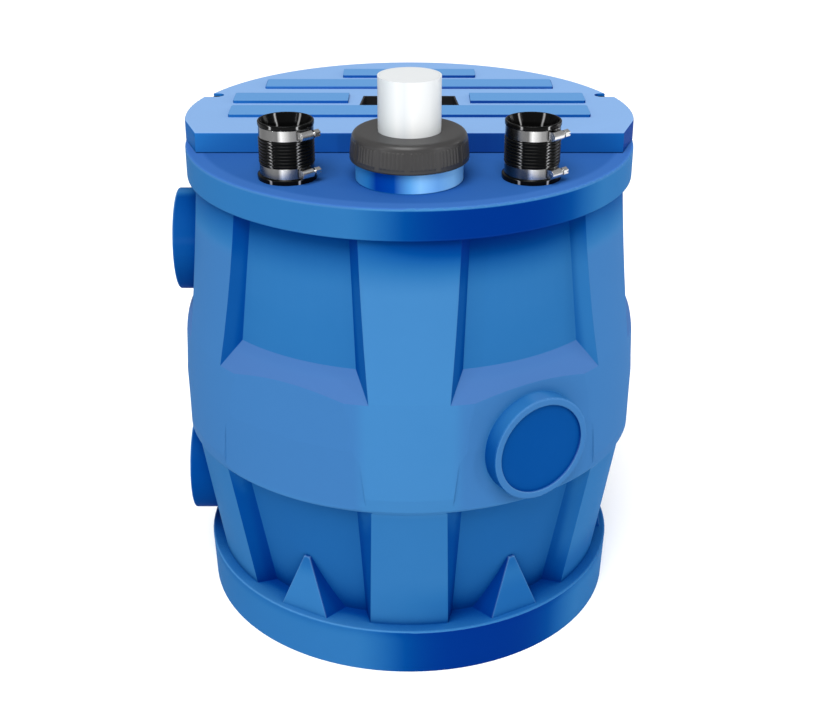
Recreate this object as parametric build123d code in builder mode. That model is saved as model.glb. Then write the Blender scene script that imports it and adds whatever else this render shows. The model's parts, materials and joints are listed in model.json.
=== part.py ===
from build123d import *
from math import cos, radians, sin, sqrt
import os

os.makedirs("parts", exist_ok=True)

# A sewage pumping station: a blue moulded tank with a screwed lid, two pipe couplings and a central
# pipe in a ring nut. Inside stand a submersible pump, its float switch and the discharge line.
# Millimetres, +Z up. The origin is the middle of the tank's underside, and the front is at -Y.

# Tank wall and heights
wall = 7
deck_height = 779
deck_thickness = 10
rim_radius = 350
rim_height = 47
rim_rounding = 4
neckline_radius = 341.5

# Base ring of the tank
ring_height = 79.5
ring_foot_radius = 345.5
ring_top_radius = 348.5
ring_rounding = 2.5

# Side profile of the tank, from the ring up
foot_radius = 330
skirt_top_radius = 366
overhang_height = 313
overhang_radius = 372
overhang_drop = 8
belly_height = 335
belly_radius = 375.5
waist_height = 412
waist_radius = 374
shoulder_height = 490
shoulder_radius = 369
chest_height = 612
chest_radius = 353

# Recesses between the six pilasters: angles are counted from each recess's middle
recess_count = 6
recess_turn = 360 / recess_count
upper_floor_top_radius = 320
upper_floor_radius = 342
upper_floor_height = 531
upper_mouth_angle_top = 17.9
upper_mouth_angle_low = 20.9
upper_floor_angle_top = 14.4
upper_floor_angle_low = 17.2
lower_floor_radius = 300
lower_floor_top_radius = 347
lower_mouth_angle_top = 21
lower_mouth_angle_low = 19.3
lower_floor_angle = 16.8

# Flattened pads on the belly, one below each upper recess
pad_angle_top = 17.5
pad_angle_middle = 18.5
pad_angle_low = 20.5
pad_depth_top = 10
pad_depth_middle = 5
pad_depth_low = 2
pad_edge_stand = 1

# Gussets at the foot of the lower recesses
gusset_height = 175
gusset_front = 337
gusset_rear = 285
gusset_front_half = 43
gusset_rear_half = 57
gusset_top_front = 324
gusset_top_half = 5

# Blind connection stubs
stub_radius = 82
stub_disc_radius = 71
stub_disc_depth = 4
stub_length = 90
stub_rounding = 2.5
left_stub_reach = 373
left_upper_stub_height = 606
left_lower_stub_height = 190
front_stub_reach = 390
front_stub_height = 402

# Lid
lid_radius = 351
lid_top = deck_height + 31.5
lid_front = -97
lid_corner_x = 323
lid_side_y = -26
lid_side_x = 348
lid_bulge_y = 40
lid_bulge_x = 351.5
lid_ear_y = 113
lid_ear_x = 337
lid_rim_width = 24
lid_skin = 6
lid_stiffener = 5
web_bite = 1
lid_rounding = 2
gasket_thickness = 1.2
gasket_inset = 3
gasket_width = 16
opening_radius = 317
opening_front = lid_front + 30
opening_corner = 25
bar_height = 4.5
bar_corner = 4
bar_rounding = 1.5
bar_depths = ((-12, 43.5), (70.6, 120), (162, 212), (236, 282))
bar_halves = (283, 284.6, 241, 114)
bar_gap_half = 98.5

# Grip pocket and its tray
pocket_front = 45
pocket_back = 117
pocket_front_half = 81
pocket_back_half = 75
pocket_depth = 18
tray_wall = 2.5
seat_clearance = 0.15

# Lid screws
screw_x = 317
screw_y = 124
screw_radius = 3.9
screw_clearance = 0.35
screw_head_radius = 7
screw_head_height = 5
screw_washer_radius = 9
screw_washer_height = 1.6
screw_bite = 16
notch_radius = 11
notch_depth = 10
insert_wall = 1.2
insert_length = 20

# Neck, its ring nut and the central pipe
neck_y = -214.6
neck_radius = 77.4
neck_bore = 69
neck_height = 52
nut_bottom = 29.5
nut_top = 71
nut_radius = 85.7
nut_bead = 3
nut_shoulder_radius = 81.5
nut_shoulder_drop = 9
nut_crown_radius = 70
nut_rib_count = 18
nut_rib_radius = 1.6
thread_clearance = 0.6
pipe_radius = 45
pipe_wall = 3
pipe_rise = 149
pipe_drop = 60
pipe_clearance = 0.4
plug_skirt = 20
slip_thickness = 3
seal_flange = 6
seal_bottom = 22
seal_radius = 75

# Pipe couplings on the deck
coupling_x = 175
coupling_y = -211
coupling_height = 85
coupling_bore = 31.55
coupling_lip = 6.5
coupling_lip_radius = 40.3
coupling_foot_radius = 43
coupling_foot = 7
coupling_seat_radius = 38.4
coupling_waist_radius = 38.7
coupling_ridge_radius = 40.2
coupling_ridges = 5
coupling_stop = 3
coupling_bevel = 1
coupling_stop_bore = 27
band_height = 15
band_thickness = 0.9
band_seat = 16.5
spigot_radius = 31.5
spigot_height = 38
coupling_stand = 0.3

# Worm-drive housings and screws of the clamps
housing_length = 20
housing_width = 13
housing_depth = 10.5
housing_turn = 42
worm_radius = 3.2
worm_head_radius = 6
worm_head_length = 9
worm_length = 33
worm_slot = 1.2

# Discharge pipe
riser_radius = 25
riser_bore = 21.5
riser_clearance = 0.3
riser_heading = -60

# Pump: heights are counted from the tank's inside floor
pump_outlet_run = 330
pump_outlet_offset = 52
foot_height = 50
foot_ring = 10
foot_ring_radius = 95
foot_leg_radius = 9
foot_leg_circle = 82
foot_leg_count = 3
suction_radius = 30
casing_radius = 98
casing_chamber_radius = 80
casing_height = 90
casing_plate = 8
outlet_radius = 30
outlet_reach = 125
outlet_flange_radius = 46
outlet_flange = 10
outlet_bolt_circle = 37
outlet_bolt_radius = 3.5
outlet_bolt_count = 4
oil_plate = 18
oil_boss_radius = 32
oil_boss_height = 17
motor_radius = 75
motor_wall = 6
motor_height = 220
motor_flange = 10
motor_fin_count = 12
motor_fin_depth = 6
motor_fin_width = 4
cover_height = 15
cover_dome = 12
cover_dome_radius = 50
cover_radius = 77
cover_spigot = 6
casing_screw_radius = 4
casing_screw_circle = 90
casing_screw_count = 6
casing_screw_head_radius = 6.5
casing_screw_head = 6
casing_screw_length = 46
bolt_play = 0.05

# Pump shaft and what turns with it
shaft_radius = 10
shaft_play = 0.05
press_play = 0.04
rotor_radius = 35
rotor_length = 110
rotor_rise = 45
air_gap = 1
stator_overhang = 6
lower_bearing_radius = 26
upper_bearing_radius = 20
bearing_height = 13
seal_ring_radius = 20
seal_ring_height = 13
impeller_radius = 62
impeller_plate = 6
impeller_blade = 24
impeller_blade_width = 5
impeller_blade_count = 7
impeller_hub_radius = 17
impeller_gap = 10
impeller_nut_radius = 9
impeller_nut_height = 8

# Handle and cable gland on the motor
handle_span = 90
handle_rise = 62
handle_rod = 5
handle_bend = 18
gland_offset = 30
gland_radius = 12
gland_height = 16
gland_cap_radius = 9
gland_cap_height = 10

# Level control
float_arm = 140
float_heading = 210
float_radius = 35
float_height = 55
float_rounding = 8
float_rod_radius = 5
float_rod_play = 0.6
float_rod_bottom = 75
float_stop_radius = 10
float_stop_height = 8
float_travel = 174
float_rest_gap = 0.3
bracket_height = 20
bracket_wall = 5
bracket_arm_width = 22
head_radius = 20
head_height = 48

# Discharge line: heights above the floor that the tank stands on
elbow_bend = 55
elbow_top = 205
elbow_socket = 22
lower_riser_top = 351
union_collar = 6
union_collar_radius = 31
union_radius = 42
union_height = 36
union_lip = 6
union_thread_radius = 34
check_height = 149
check_chamber_radius = 36
check_chamber_wall = 7
check_seat = 39
check_chamber_height = 60
check_ball_radius = 27
check_lift = 18
check_gap = 0.3
check_rib = 3
check_rib_count = 3
check_neck = 20
check_port_radius = 28.5
check_port_wall = 7
check_port_reach = 58
check_cap_radius = 39
check_cap_height = 9
check_cap_hex = 13
check_cap_hex_height = 9
valve_height = 92
valve_radius = 43
valve_ball_radius = 30
valve_ball_gap = 0.4
valve_end_height = 26
stem_radius = 7
stem_play = 0.08
stem_reach = 68
gland_boss_radius = 14
lever_length = 95
lever_width = 20
lever_thickness = 8

# Tail pipe under the left-hand coupling
tail_pipe_drop = 50

# Places worked out from the sizes above
floor = wall
deck_under = deck_height - deck_thickness
left_coupling = (-coupling_x, coupling_y)
right_coupling = (coupling_x, coupling_y)
neck_centre = (0, neck_y)
heading = Vector(cos(radians(riser_heading)), sin(radians(riser_heading)))
sideways = Vector(-heading.Y, heading.X)
riser_centre = right_coupling
pump_centre = (
    riser_centre[0] - sideways.X * pump_outlet_offset - heading.X * pump_outlet_run,
    riser_centre[1] - sideways.Y * pump_outlet_offset - heading.Y * pump_outlet_run,
)
casing_bottom = floor + foot_height
casing_top = casing_bottom + casing_height
outlet_height = casing_bottom + casing_height / 2
motor_bottom = casing_top + oil_plate
motor_top = motor_bottom + motor_height
float_centre = (
    pump_centre[0] + float_arm * cos(radians(float_heading)),
    pump_centre[1] + float_arm * sin(radians(float_heading)),
)


def section(points, centre=(0, 0)):
    """Closed outline of (radius, height) points in the upright plane through a centre."""
    upright = Plane(origin=(centre[0], centre[1], 0), x_dir=(1, 0, 0), z_dir=(0, -1, 0))
    with BuildSketch(upright) as outline:
        with BuildLine():
            Polyline(points, close=True)
        make_face()
    return outline.sketch


def upright_axis(centre=(0, 0)):
    """Vertical axis through a centre."""
    return Axis((centre[0], centre[1], 0), (0, 0, 1))


def level(height, centre=(0, 0)):
    """Horizontal plane at a height, with its origin over a centre."""
    return Plane(origin=(centre[0], centre[1], height))


def facing(azimuth, reach, height):
    """Plane that looks out from the tank's axis; azimuth 0 is the front and 90 the right."""
    out = Vector(sin(radians(azimuth)), -cos(radians(azimuth)), 0)
    along = Vector(cos(radians(azimuth)), sin(radians(azimuth)), 0)
    return Plane(origin=out * reach + Vector(0, 0, height), x_dir=along, z_dir=out)


def corner(radius, angle):
    """Point at a radius and at an angle from the front, seen from above."""
    return Vector(radius * sin(radians(angle)), -radius * cos(radians(angle)))


def finish(builder, name):
    """Name a finished piece and write it."""
    builder.part.label = name
    export_step(builder.part, f"parts/{name}.step")


# Tank

def tank_section(inset):
    """Half outline of the tank's outside, or of its cavity when set in by the wall."""
    rim_bottom = deck_height - rim_height
    with BuildSketch(Plane.XZ) as outline:
        with BuildLine():
            skirt = Polyline(
                (0, inset),
                (ring_foot_radius - inset, inset),
                (ring_top_radius - inset, ring_height - inset),
                (foot_radius - inset, ring_height - inset),
                (skirt_top_radius - inset, overhang_height - overhang_drop + inset / 2),
                (overhang_radius - inset, overhang_height + inset / 2),
                (belly_radius - inset, belly_height),
            )
            belly = ThreePointArc(
                skirt @ 1, (waist_radius - inset, waist_height), (shoulder_radius - inset, shoulder_height)
            )
            chest = ThreePointArc(
                belly @ 1, (chest_radius - inset, chest_height), (neckline_radius - inset, rim_bottom)
            )
            if inset:
                Polyline(chest @ 1, (neckline_radius - inset, deck_under), (0, deck_under), (0, inset))
            else:
                Polyline(
                    chest @ 1, (rim_radius, rim_bottom), (rim_radius, deck_height), (0, deck_height), (0, inset)
                )
        make_face()
        if not inset:
            rim_edge = outline.vertices().sort_by_distance((rim_radius, deck_height))[0]
            fillet(rim_edge, rim_rounding)
            ring_edge = outline.vertices().sort_by_distance((ring_top_radius, ring_height))[0]
            fillet(ring_edge, ring_rounding)
    return outline.sketch


def wedge(levels, grow):
    """Side walls of a recess, lofted between two levels and opened outwards without end."""
    with BuildPart() as cutter:
        for height, floor_radius, floor_angle, mouth_radius, mouth_angle in levels:
            floor_corner = corner(floor_radius, floor_angle)
            mouth_corner = corner(mouth_radius, mouth_angle)
            outer = floor_corner + (mouth_corner - floor_corner) * 6
            inner = floor_corner - (mouth_corner - floor_corner) / 2
            with BuildSketch(Plane.XY.offset(height)):
                with BuildLine():
                    Polyline(
                        (inner.X, inner.Y), (outer.X, outer.Y), (-outer.X, outer.Y), (-inner.X, inner.Y),
                        close=True,
                    )
                make_face()
                if grow:
                    offset(amount=grow, kind=Kind.INTERSECTION)
        loft(ruled=True)
    return cutter.part


def upper_recess(grow):
    """Cutter for one upper recess: conical floor, sloping sill, open at the top under the rim."""
    slope_top = upper_floor_height - grow / 2
    slope_foot = shoulder_height - 26 - grow / 2
    levels = (
        (shoulder_height - 14, 345, upper_floor_angle_low, shoulder_radius + 1, upper_mouth_angle_low),
        (deck_height - 34, 321, upper_floor_angle_top, neckline_radius, upper_mouth_angle_top),
    )
    kept = section([
        (0, slope_foot - 10),
        (shoulder_radius + 15 - grow, slope_foot - 10),
        (shoulder_radius + 15 - grow, slope_foot),
        (upper_floor_radius - grow, slope_top),
        (upper_floor_top_radius - grow, deck_height),
        (0, deck_height),
    ])
    with BuildPart() as recess:
        add(wedge(levels, grow))
        revolve(kept, axis=Axis.Z, mode=Mode.SUBTRACT)
        if not grow:
            with BuildSketch(Plane.XY.offset(deck_height - rim_height)):
                Circle(2 * rim_radius)
            extrude(amount=rim_height, mode=Mode.SUBTRACT)
    return recess.part


def lower_recess(grow):
    """Cutter for one lower recess, from the ring up to the belly's overhang."""
    low = ring_height - grow
    high = overhang_height - overhang_drop / 2 + grow
    levels = (
        (low, lower_floor_radius, lower_floor_angle, foot_radius, lower_mouth_angle_low),
        (high, lower_floor_top_radius, lower_floor_angle, skirt_top_radius, lower_mouth_angle_top),
    )
    kept = section([
        (0, low - 1),
        (lower_floor_radius - grow, low - 1),
        (lower_floor_top_radius - grow, high + 1),
        (0, high + 1),
    ])
    with BuildPart() as recess:
        add(wedge(levels, grow))
        revolve(kept, axis=Axis.Z, mode=Mode.SUBTRACT)
    return recess.part


def belly_pad(grow):
    """Cutter that flattens the belly a little below an upper recess."""
    levels = (
        (overhang_height - 2 * overhang_drop, overhang_radius, pad_angle_low, pad_depth_low),
        (waist_height, waist_radius, pad_angle_middle, pad_depth_middle),
        (upper_floor_height, shoulder_radius, pad_angle_top, pad_depth_top),
    )
    with BuildPart() as pad:
        for height, radius, angle, depth in levels:
            edge = corner(radius + pad_edge_stand - grow, angle)
            far = corner(radius * 1.2, angle)
            middle = -(radius - depth - grow)
            with BuildSketch(Plane.XY.offset(height)):
                with BuildLine():
                    ThreePointArc((-edge.X, edge.Y), (0, middle), (edge.X, edge.Y))
                    Polyline((edge.X, edge.Y), (far.X, far.Y), (-far.X, far.Y), (-edge.X, edge.Y))
                make_face()
        loft(ruled=True)
    return pad.part


def gusset(inset):
    """Pyramid that stiffens the foot of a lower recess."""
    levels = (
        (ring_height - 2 - inset, gusset_front - inset, gusset_front_half - inset, gusset_rear_half - inset),
        (gusset_height - 2 * inset, gusset_top_front - inset, gusset_top_half - inset / 2, gusset_top_half),
    )
    with BuildPart() as pyramid:
        for height, front, front_half, rear_half in levels:
            with BuildSketch(Plane.XY.offset(height)):
                with BuildLine():
                    Polyline(
                        (-front_half, -front), (front_half, -front),
                        (rear_half, -gusset_rear), (-rear_half, -gusset_rear),
                        close=True,
                    )
                make_face()
        loft(ruled=True)
    return pyramid.part


def stub(azimuth, height, reach, inset):
    """Blind pipe stub with a sunk end disc, or the hollow behind it."""
    face = facing(azimuth, reach, height)
    with BuildPart() as tube:
        if inset:
            with BuildSketch(face.offset(-stub_disc_depth - inset)):
                Circle(stub_radius - inset)
            extrude(amount=-stub_length)
        else:
            with BuildSketch(face):
                Circle(stub_radius)
            extrude(amount=-stub_length)
            fillet(tube.faces().sort_by(Axis(face.origin, face.z_dir))[-1].edges(), stub_rounding)
            with BuildSketch(face):
                Circle(stub_disc_radius)
            extrude(amount=-stub_disc_depth, mode=Mode.SUBTRACT)
    return tube.part


def tank_form(inset):
    """Whole form of the tank's outside, or of its cavity when set in by the wall."""
    with BuildPart() as form:
        revolve(tank_section(inset), axis=Axis.Z)
        for cutter in (upper_recess(inset), lower_recess(inset), belly_pad(inset)):
            with PolarLocations(0, recess_count, start_angle=recess_turn / 2):
                add(cutter, mode=Mode.SUBTRACT)
        with PolarLocations(0, recess_count - 1, start_angle=-recess_turn / 2, angular_range=300):
            add(gusset(inset))
        add(stub(-90, left_upper_stub_height, left_stub_reach, inset))
        add(stub(-90, left_lower_stub_height, left_stub_reach, inset))
        add(stub(recess_turn / 2, front_stub_height, front_stub_reach, inset))
    return form.part


def lid_outline(inset):
    """Outline of the D-shaped lid, set in by an amount."""
    with BuildSketch() as outline:
        with BuildLine():
            front = Polyline(
                (-lid_side_x, lid_side_y), (-lid_corner_x, lid_front),
                (lid_corner_x, lid_front), (lid_side_x, lid_side_y),
            )
            right = ThreePointArc(front @ 1, (lid_bulge_x, lid_bulge_y), (lid_ear_x, lid_ear_y))
            left = ThreePointArc(front @ 0, (-lid_bulge_x, lid_bulge_y), (-lid_ear_x, lid_ear_y))
            rear_x = sqrt(lid_radius ** 2 - lid_ear_y ** 2)
            Line(right @ 1, (rear_x, lid_ear_y))
            Line(left @ 1, (-rear_x, lid_ear_y))
            ThreePointArc((rear_x, lid_ear_y), (0, lid_radius), (-rear_x, lid_ear_y))
        make_face()
        if inset:
            offset(amount=-inset, kind=Kind.INTERSECTION)
    return outline.sketch


with BuildPart() as tank:
    add(tank_form(0))
    add(tank_form(wall), mode=Mode.SUBTRACT)
    with BuildSketch(level(deck_under)) as opening:
        Circle(opening_radius)
        with Locations((0, opening_front - opening_radius)):
            Rectangle(2 * opening_radius, 2 * opening_radius, mode=Mode.SUBTRACT)
        fillet(opening.vertices(), opening_corner)
    extrude(amount=deck_thickness, mode=Mode.SUBTRACT)
    with BuildSketch(level(deck_under, neck_centre)):
        Circle(neck_radius)
    extrude(amount=deck_thickness + neck_height)
    with BuildSketch(level(deck_under, neck_centre)):
        Circle(neck_bore)
    extrude(amount=deck_thickness + neck_height, mode=Mode.SUBTRACT)
    for centre in (left_coupling, right_coupling):
        with BuildSketch(level(deck_under, centre)):
            Circle(spigot_radius)
        extrude(amount=deck_thickness + spigot_height)
        with BuildSketch(level(deck_under, centre)):
            Circle(riser_radius + riser_clearance)
        extrude(amount=deck_thickness + spigot_height, mode=Mode.SUBTRACT)
    with BuildSketch(level(deck_height - insert_length)):
        with Locations((-screw_x, screw_y), (screw_x, screw_y)):
            Circle(screw_radius + screw_clearance + insert_wall)
    extrude(amount=insert_length, mode=Mode.SUBTRACT)
finish(tank, "tank")


# Lid with its gasket, grip tray and screws

lid_bottom = deck_height + gasket_thickness


def pocket_outline(inset):
    """Trapezoid of the grip pocket, set in by an amount."""
    with BuildSketch() as outline:
        with BuildLine():
            Polyline(
                (-pocket_front_half, pocket_front), (pocket_front_half, pocket_front),
                (pocket_back_half, pocket_back), (-pocket_back_half, pocket_back),
                close=True,
            )
        make_face()
        if inset:
            offset(amount=-inset, kind=Kind.INTERSECTION)
    return outline.sketch


def bar_outline():
    """Raised bars on the lid; the second row leaves a gap for the grip pocket."""
    with BuildSketch() as bars:
        for (near, away), half in zip(bar_depths, bar_halves):
            with Locations((0, (near + away) / 2)):
                RectangleRounded(2 * half, away - near, bar_corner)
        near, away = bar_depths[1]
        with Locations((0, (near + away) / 2)):
            Rectangle(2 * bar_gap_half, away - near + 1, mode=Mode.SUBTRACT)
    return bars.sketch


with BuildPart() as lid:
    with BuildSketch(level(lid_bottom)):
        add(lid_outline(0))
    extrude(amount=lid_top - lid_bottom)
    with BuildSketch(level(lid_top)):
        for side in (-1, 1):
            with Locations((side * screw_x, screw_y)):
                Circle(notch_radius)
            with Locations((side * (screw_x + notch_radius), screw_y)):
                Rectangle(2 * notch_radius, 2 * notch_radius)
    extrude(amount=-notch_depth, mode=Mode.SUBTRACT)
    fillet(lid.faces().sort_by(Axis.Z)[-1].edges(), lid_rounding)
    with BuildSketch(level(lid_bottom)):
        add(lid_outline(lid_rim_width))
    extrude(amount=lid_top - lid_bottom - lid_skin, mode=Mode.SUBTRACT)
    with BuildSketch(level(lid_bottom)) as web:
        for x in (-lid_radius / 2, 0, lid_radius / 2):
            with Locations((x, 0)):
                Rectangle(lid_stiffener, 2 * lid_radius)
        for y in (pocket_front - 2 * lid_stiffener, pocket_back + 2 * lid_stiffener):
            with Locations((0, y)):
                Rectangle(2 * lid_radius, lid_stiffener)
        add(lid_outline(lid_rim_width - web_bite), mode=Mode.INTERSECT)
    extrude(amount=lid_top - lid_bottom - lid_skin / 2)
    with BuildSketch(level(lid_top - lid_rounding)):
        add(bar_outline())
    extrude(amount=bar_height + lid_rounding)
    chamfer(lid.faces().sort_by(Axis.Z)[-1].edges(), bar_rounding)
    with BuildSketch(level(lid_top)):
        add(pocket_outline(-tray_wall - seat_clearance))
    extrude(amount=-pocket_depth - lid_skin)
    with BuildSketch(level(lid_top)):
        add(pocket_outline(-seat_clearance))
    extrude(amount=-pocket_depth, mode=Mode.SUBTRACT)
    with BuildSketch(level(lid_bottom)):
        with Locations((-screw_x, screw_y), (screw_x, screw_y)):
            Circle(screw_radius + screw_clearance)
    extrude(amount=lid_top - lid_bottom, mode=Mode.SUBTRACT)
finish(lid, "lid")

with BuildPart() as lid_gasket:
    with BuildSketch(level(deck_height)):
        add(lid_outline(gasket_inset))
        add(lid_outline(gasket_inset + gasket_width), mode=Mode.SUBTRACT)
        with Locations((-screw_x, screw_y), (screw_x, screw_y)):
            Circle(screw_radius + screw_clearance, mode=Mode.SUBTRACT)
    extrude(amount=gasket_thickness)
finish(lid_gasket, "lid_gasket")

with BuildPart() as lid_grip_tray:
    with BuildSketch(level(lid_top)):
        add(pocket_outline(0))
    extrude(amount=-pocket_depth)
    with BuildSketch(level(lid_top)):
        add(pocket_outline(tray_wall))
    extrude(amount=tray_wall - pocket_depth, mode=Mode.SUBTRACT)
finish(lid_grip_tray, "lid_grip_tray")

with BuildPart() as lid_screws:
    for side in (-1, 1):
        centre = (side * screw_x, screw_y)
        with BuildSketch(level(lid_top - notch_depth, centre)):
            Circle(screw_washer_radius)
        extrude(amount=screw_washer_height)
        with BuildSketch(level(lid_top - notch_depth + screw_washer_height, centre)):
            RegularPolygon(screw_head_radius, 6)
        extrude(amount=screw_head_height)
        with BuildSketch(level(deck_height - screw_bite, centre)):
            Circle(screw_radius)
        extrude(amount=lid_top - notch_depth - deck_height + screw_bite)
finish(lid_screws, "lid_screws")

with BuildPart() as screw_inserts:
    with BuildSketch(level(deck_height - insert_length)):
        with Locations((-screw_x, screw_y), (screw_x, screw_y)):
            Circle(screw_radius + screw_clearance + insert_wall - press_play)
            Circle(screw_radius + screw_clearance, mode=Mode.SUBTRACT)
    extrude(amount=insert_length)
finish(screw_inserts, "screw_inserts")


# Neck: sealing ring, slip ring, ring nut and the central pipe

neck_axis = upright_axis(neck_centre)
neck_top = deck_height + neck_height
seal_top = neck_top + seal_flange
nut_ceiling = seal_top + slip_thickness + 2 * coupling_stand
pipe_top = deck_height + pipe_rise
pipe_bottom = deck_under - pipe_drop

with BuildPart() as sealing_ring:
    revolve(
        section([
            (pipe_radius + seat_clearance, deck_height + seal_bottom),
            (neck_bore - 2 * seal_flange, deck_height + seal_bottom),
            (neck_bore - seat_clearance, neck_top - seal_flange),
            (neck_bore - seat_clearance, neck_top),
            (seal_radius, neck_top),
            (seal_radius, seal_top),
            (pipe_radius + seat_clearance, seal_top),
        ], neck_centre),
        axis=neck_axis,
    )
finish(sealing_ring, "sealing_ring")

with BuildPart() as slip_ring:
    revolve(
        section([
            (pipe_radius + pipe_clearance, seal_top + coupling_stand),
            (seal_radius, seal_top + coupling_stand),
            (seal_radius, seal_top + coupling_stand + slip_thickness),
            (pipe_radius + pipe_clearance, seal_top + coupling_stand + slip_thickness),
        ], neck_centre),
        axis=neck_axis,
    )
finish(slip_ring, "slip_ring")

with BuildPart() as ring_nut:
    bottom = deck_height + nut_bottom
    top = deck_height + nut_top
    revolve(
        section([
            (neck_radius + thread_clearance, bottom),
            (nut_radius, bottom),
            (nut_radius, bottom + nut_bead),
            (nut_radius - 1.5, bottom + 2 * nut_bead),
            (nut_shoulder_radius, top - nut_shoulder_drop),
            (nut_crown_radius + 5, top - 2),
            (nut_crown_radius, top),
            (pipe_radius + pipe_clearance, top),
            (pipe_radius + pipe_clearance, nut_ceiling),
            (neck_radius + thread_clearance, nut_ceiling),
        ], neck_centre),
        axis=neck_axis,
    )
    with BuildSketch(level(bottom + nut_bead, neck_centre)):
        with PolarLocations(nut_shoulder_radius + nut_rib_radius / 2, nut_rib_count):
            Circle(nut_rib_radius)
    extrude(amount=nut_top - nut_bottom - nut_bead - nut_shoulder_drop)
finish(ring_nut, "ring_nut")

with BuildPart() as centre_pipe:
    revolve(
        section([
            (pipe_radius - pipe_wall, pipe_bottom),
            (pipe_radius, pipe_bottom),
            (pipe_radius, pipe_top),
            (pipe_radius - pipe_wall, pipe_top),
        ], neck_centre),
        axis=neck_axis,
    )
finish(centre_pipe, "centre_pipe")

with BuildPart() as pipe_end_plug:
    plug_radius = pipe_radius - pipe_wall - seat_clearance
    revolve(
        section([
            (0, pipe_top - pipe_wall),
            (plug_radius - pipe_wall, pipe_top - pipe_wall),
            (plug_radius - pipe_wall, pipe_top - plug_skirt),
            (plug_radius, pipe_top - plug_skirt),
            (plug_radius, pipe_top),
            (0, pipe_top),
        ], neck_centre),
        axis=neck_axis,
    )
finish(pipe_end_plug, "pipe_end_plug")


# Rubber couplings and their clamps

coupling_top = deck_height + coupling_height
lower_band = deck_height + coupling_foot + (band_seat - band_height) / 2
upper_band = coupling_top - coupling_lip - (band_seat + band_height) / 2
ridge_bottom = deck_height + coupling_foot + band_seat
ridge_top = coupling_top - coupling_lip - band_seat
stop_bottom = deck_height + spigot_height + coupling_stand


def coupling_outline(centre):
    """Section of a ribbed sleeve: foot, band seat, ridges, band seat and lip."""
    pitch = (ridge_top - ridge_bottom) / coupling_ridges
    points = [
        (coupling_bore, deck_height + coupling_stand),
        (coupling_foot_radius, deck_height + coupling_stand),
        (coupling_foot_radius, deck_height + coupling_foot),
        (coupling_seat_radius, deck_height + coupling_foot),
        (coupling_seat_radius, ridge_bottom),
    ]
    for index in range(coupling_ridges):
        start = ridge_bottom + index * pitch
        points += [
            (coupling_waist_radius, start),
            (coupling_ridge_radius, start + pitch * 0.3),
            (coupling_ridge_radius, start + pitch * 0.7),
            (coupling_waist_radius, start + pitch),
        ]
        if index < coupling_ridges - 1:
            points.pop()
    points += [
        (coupling_seat_radius, ridge_top),
        (coupling_seat_radius, coupling_top - coupling_lip),
        (coupling_lip_radius, coupling_top - coupling_lip),
        (coupling_lip_radius, coupling_top - coupling_bevel),
        (coupling_lip_radius - coupling_bevel, coupling_top),
        (coupling_bore, coupling_top),
        (coupling_bore, stop_bottom + coupling_stop),
        (coupling_stop_bore, stop_bottom + coupling_stop),
        (coupling_stop_bore, stop_bottom),
        (coupling_bore, stop_bottom),
    ]
    return section(points, centre)


for side, centre in (("left", left_coupling), ("right", right_coupling)):
    with BuildPart() as coupling:
        revolve(coupling_outline(centre), axis=upright_axis(centre))
    finish(coupling, f"{side}_coupling")

clamp_places = [
    (centre, height, radius)
    for centre in (left_coupling, right_coupling)
    for height, radius in ((lower_band, coupling_seat_radius), (upper_band, coupling_seat_radius))
]

with BuildPart() as clamp_bands:
    for centre, height, radius in clamp_places:
        with BuildSketch(level(height, centre)):
            Circle(radius + press_play + band_thickness)
            Circle(radius + press_play, mode=Mode.SUBTRACT)
        extrude(amount=band_height)
finish(clamp_bands, "clamp_bands")


def clamp_plane(centre, height, radius):
    """Plane of a worm screw's axis: X along the screw, Y up, Z out of the coupling."""
    out = Vector(sin(radians(housing_turn)), -cos(radians(housing_turn)), 0)
    along = Vector(cos(radians(housing_turn)), sin(radians(housing_turn)), 0)
    seat = radius + press_play + band_thickness
    middle = Vector(centre[0], centre[1], height + band_height / 2)
    return Plane(origin=middle + out * seat, x_dir=along, z_dir=out)


with BuildPart() as clamp_housings:
    for centre, height, radius in clamp_places:
        seat = clamp_plane(centre, height, radius)
        profile = Plane(origin=seat.origin - seat.x_dir * housing_length / 2, x_dir=seat.y_dir, z_dir=seat.x_dir)
        with BuildSketch(profile):
            with Locations((0, housing_depth / 4)):
                Rectangle(housing_width, housing_depth / 2)
            with Locations((0, housing_depth / 2)):
                Circle(housing_width / 2)
            with Locations((0, -housing_width)):
                Rectangle(2 * housing_width, 2 * housing_width, mode=Mode.SUBTRACT)
            with Locations((0, housing_depth / 2)):
                Circle(worm_radius + seat_clearance, mode=Mode.SUBTRACT)
        extrude(amount=housing_length)
    for centre, height, radius in clamp_places:
        with BuildSketch(level(height, centre)):
            Circle(radius + 2 * press_play + band_thickness)
        extrude(amount=band_height, mode=Mode.SUBTRACT)
finish(clamp_housings, "clamp_housings")

with BuildPart() as clamp_screws:
    for centre, height, radius in clamp_places:
        seat = clamp_plane(centre, height, radius)
        start = seat.origin + seat.z_dir * housing_depth / 2 - seat.x_dir * housing_length / 2
        shank = Plane(origin=start, x_dir=seat.y_dir, z_dir=seat.x_dir)
        with BuildSketch(shank):
            Circle(worm_radius)
        extrude(amount=worm_length - worm_head_length)
        with BuildSketch(shank.offset(worm_length - worm_head_length)):
            RegularPolygon(worm_head_radius, 6)
        extrude(amount=worm_head_length)
        with BuildSketch(shank.offset(worm_length)):
            Rectangle(worm_slot, 3 * worm_head_radius)
        extrude(amount=-2 * worm_slot, mode=Mode.SUBTRACT)
finish(clamp_screws, "clamp_screws")


# Pump: what stands still

pump_axis = upright_axis(pump_centre)
bolt_hole = casing_screw_radius + bolt_play
outlet_start = Vector(
    pump_centre[0] + sideways.X * pump_outlet_offset,
    pump_centre[1] + sideways.Y * pump_outlet_offset,
    outlet_height,
)
outlet_direction = Vector(heading.X, heading.Y, 0)
outlet_side = Vector(sideways.X, sideways.Y, 0)


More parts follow.
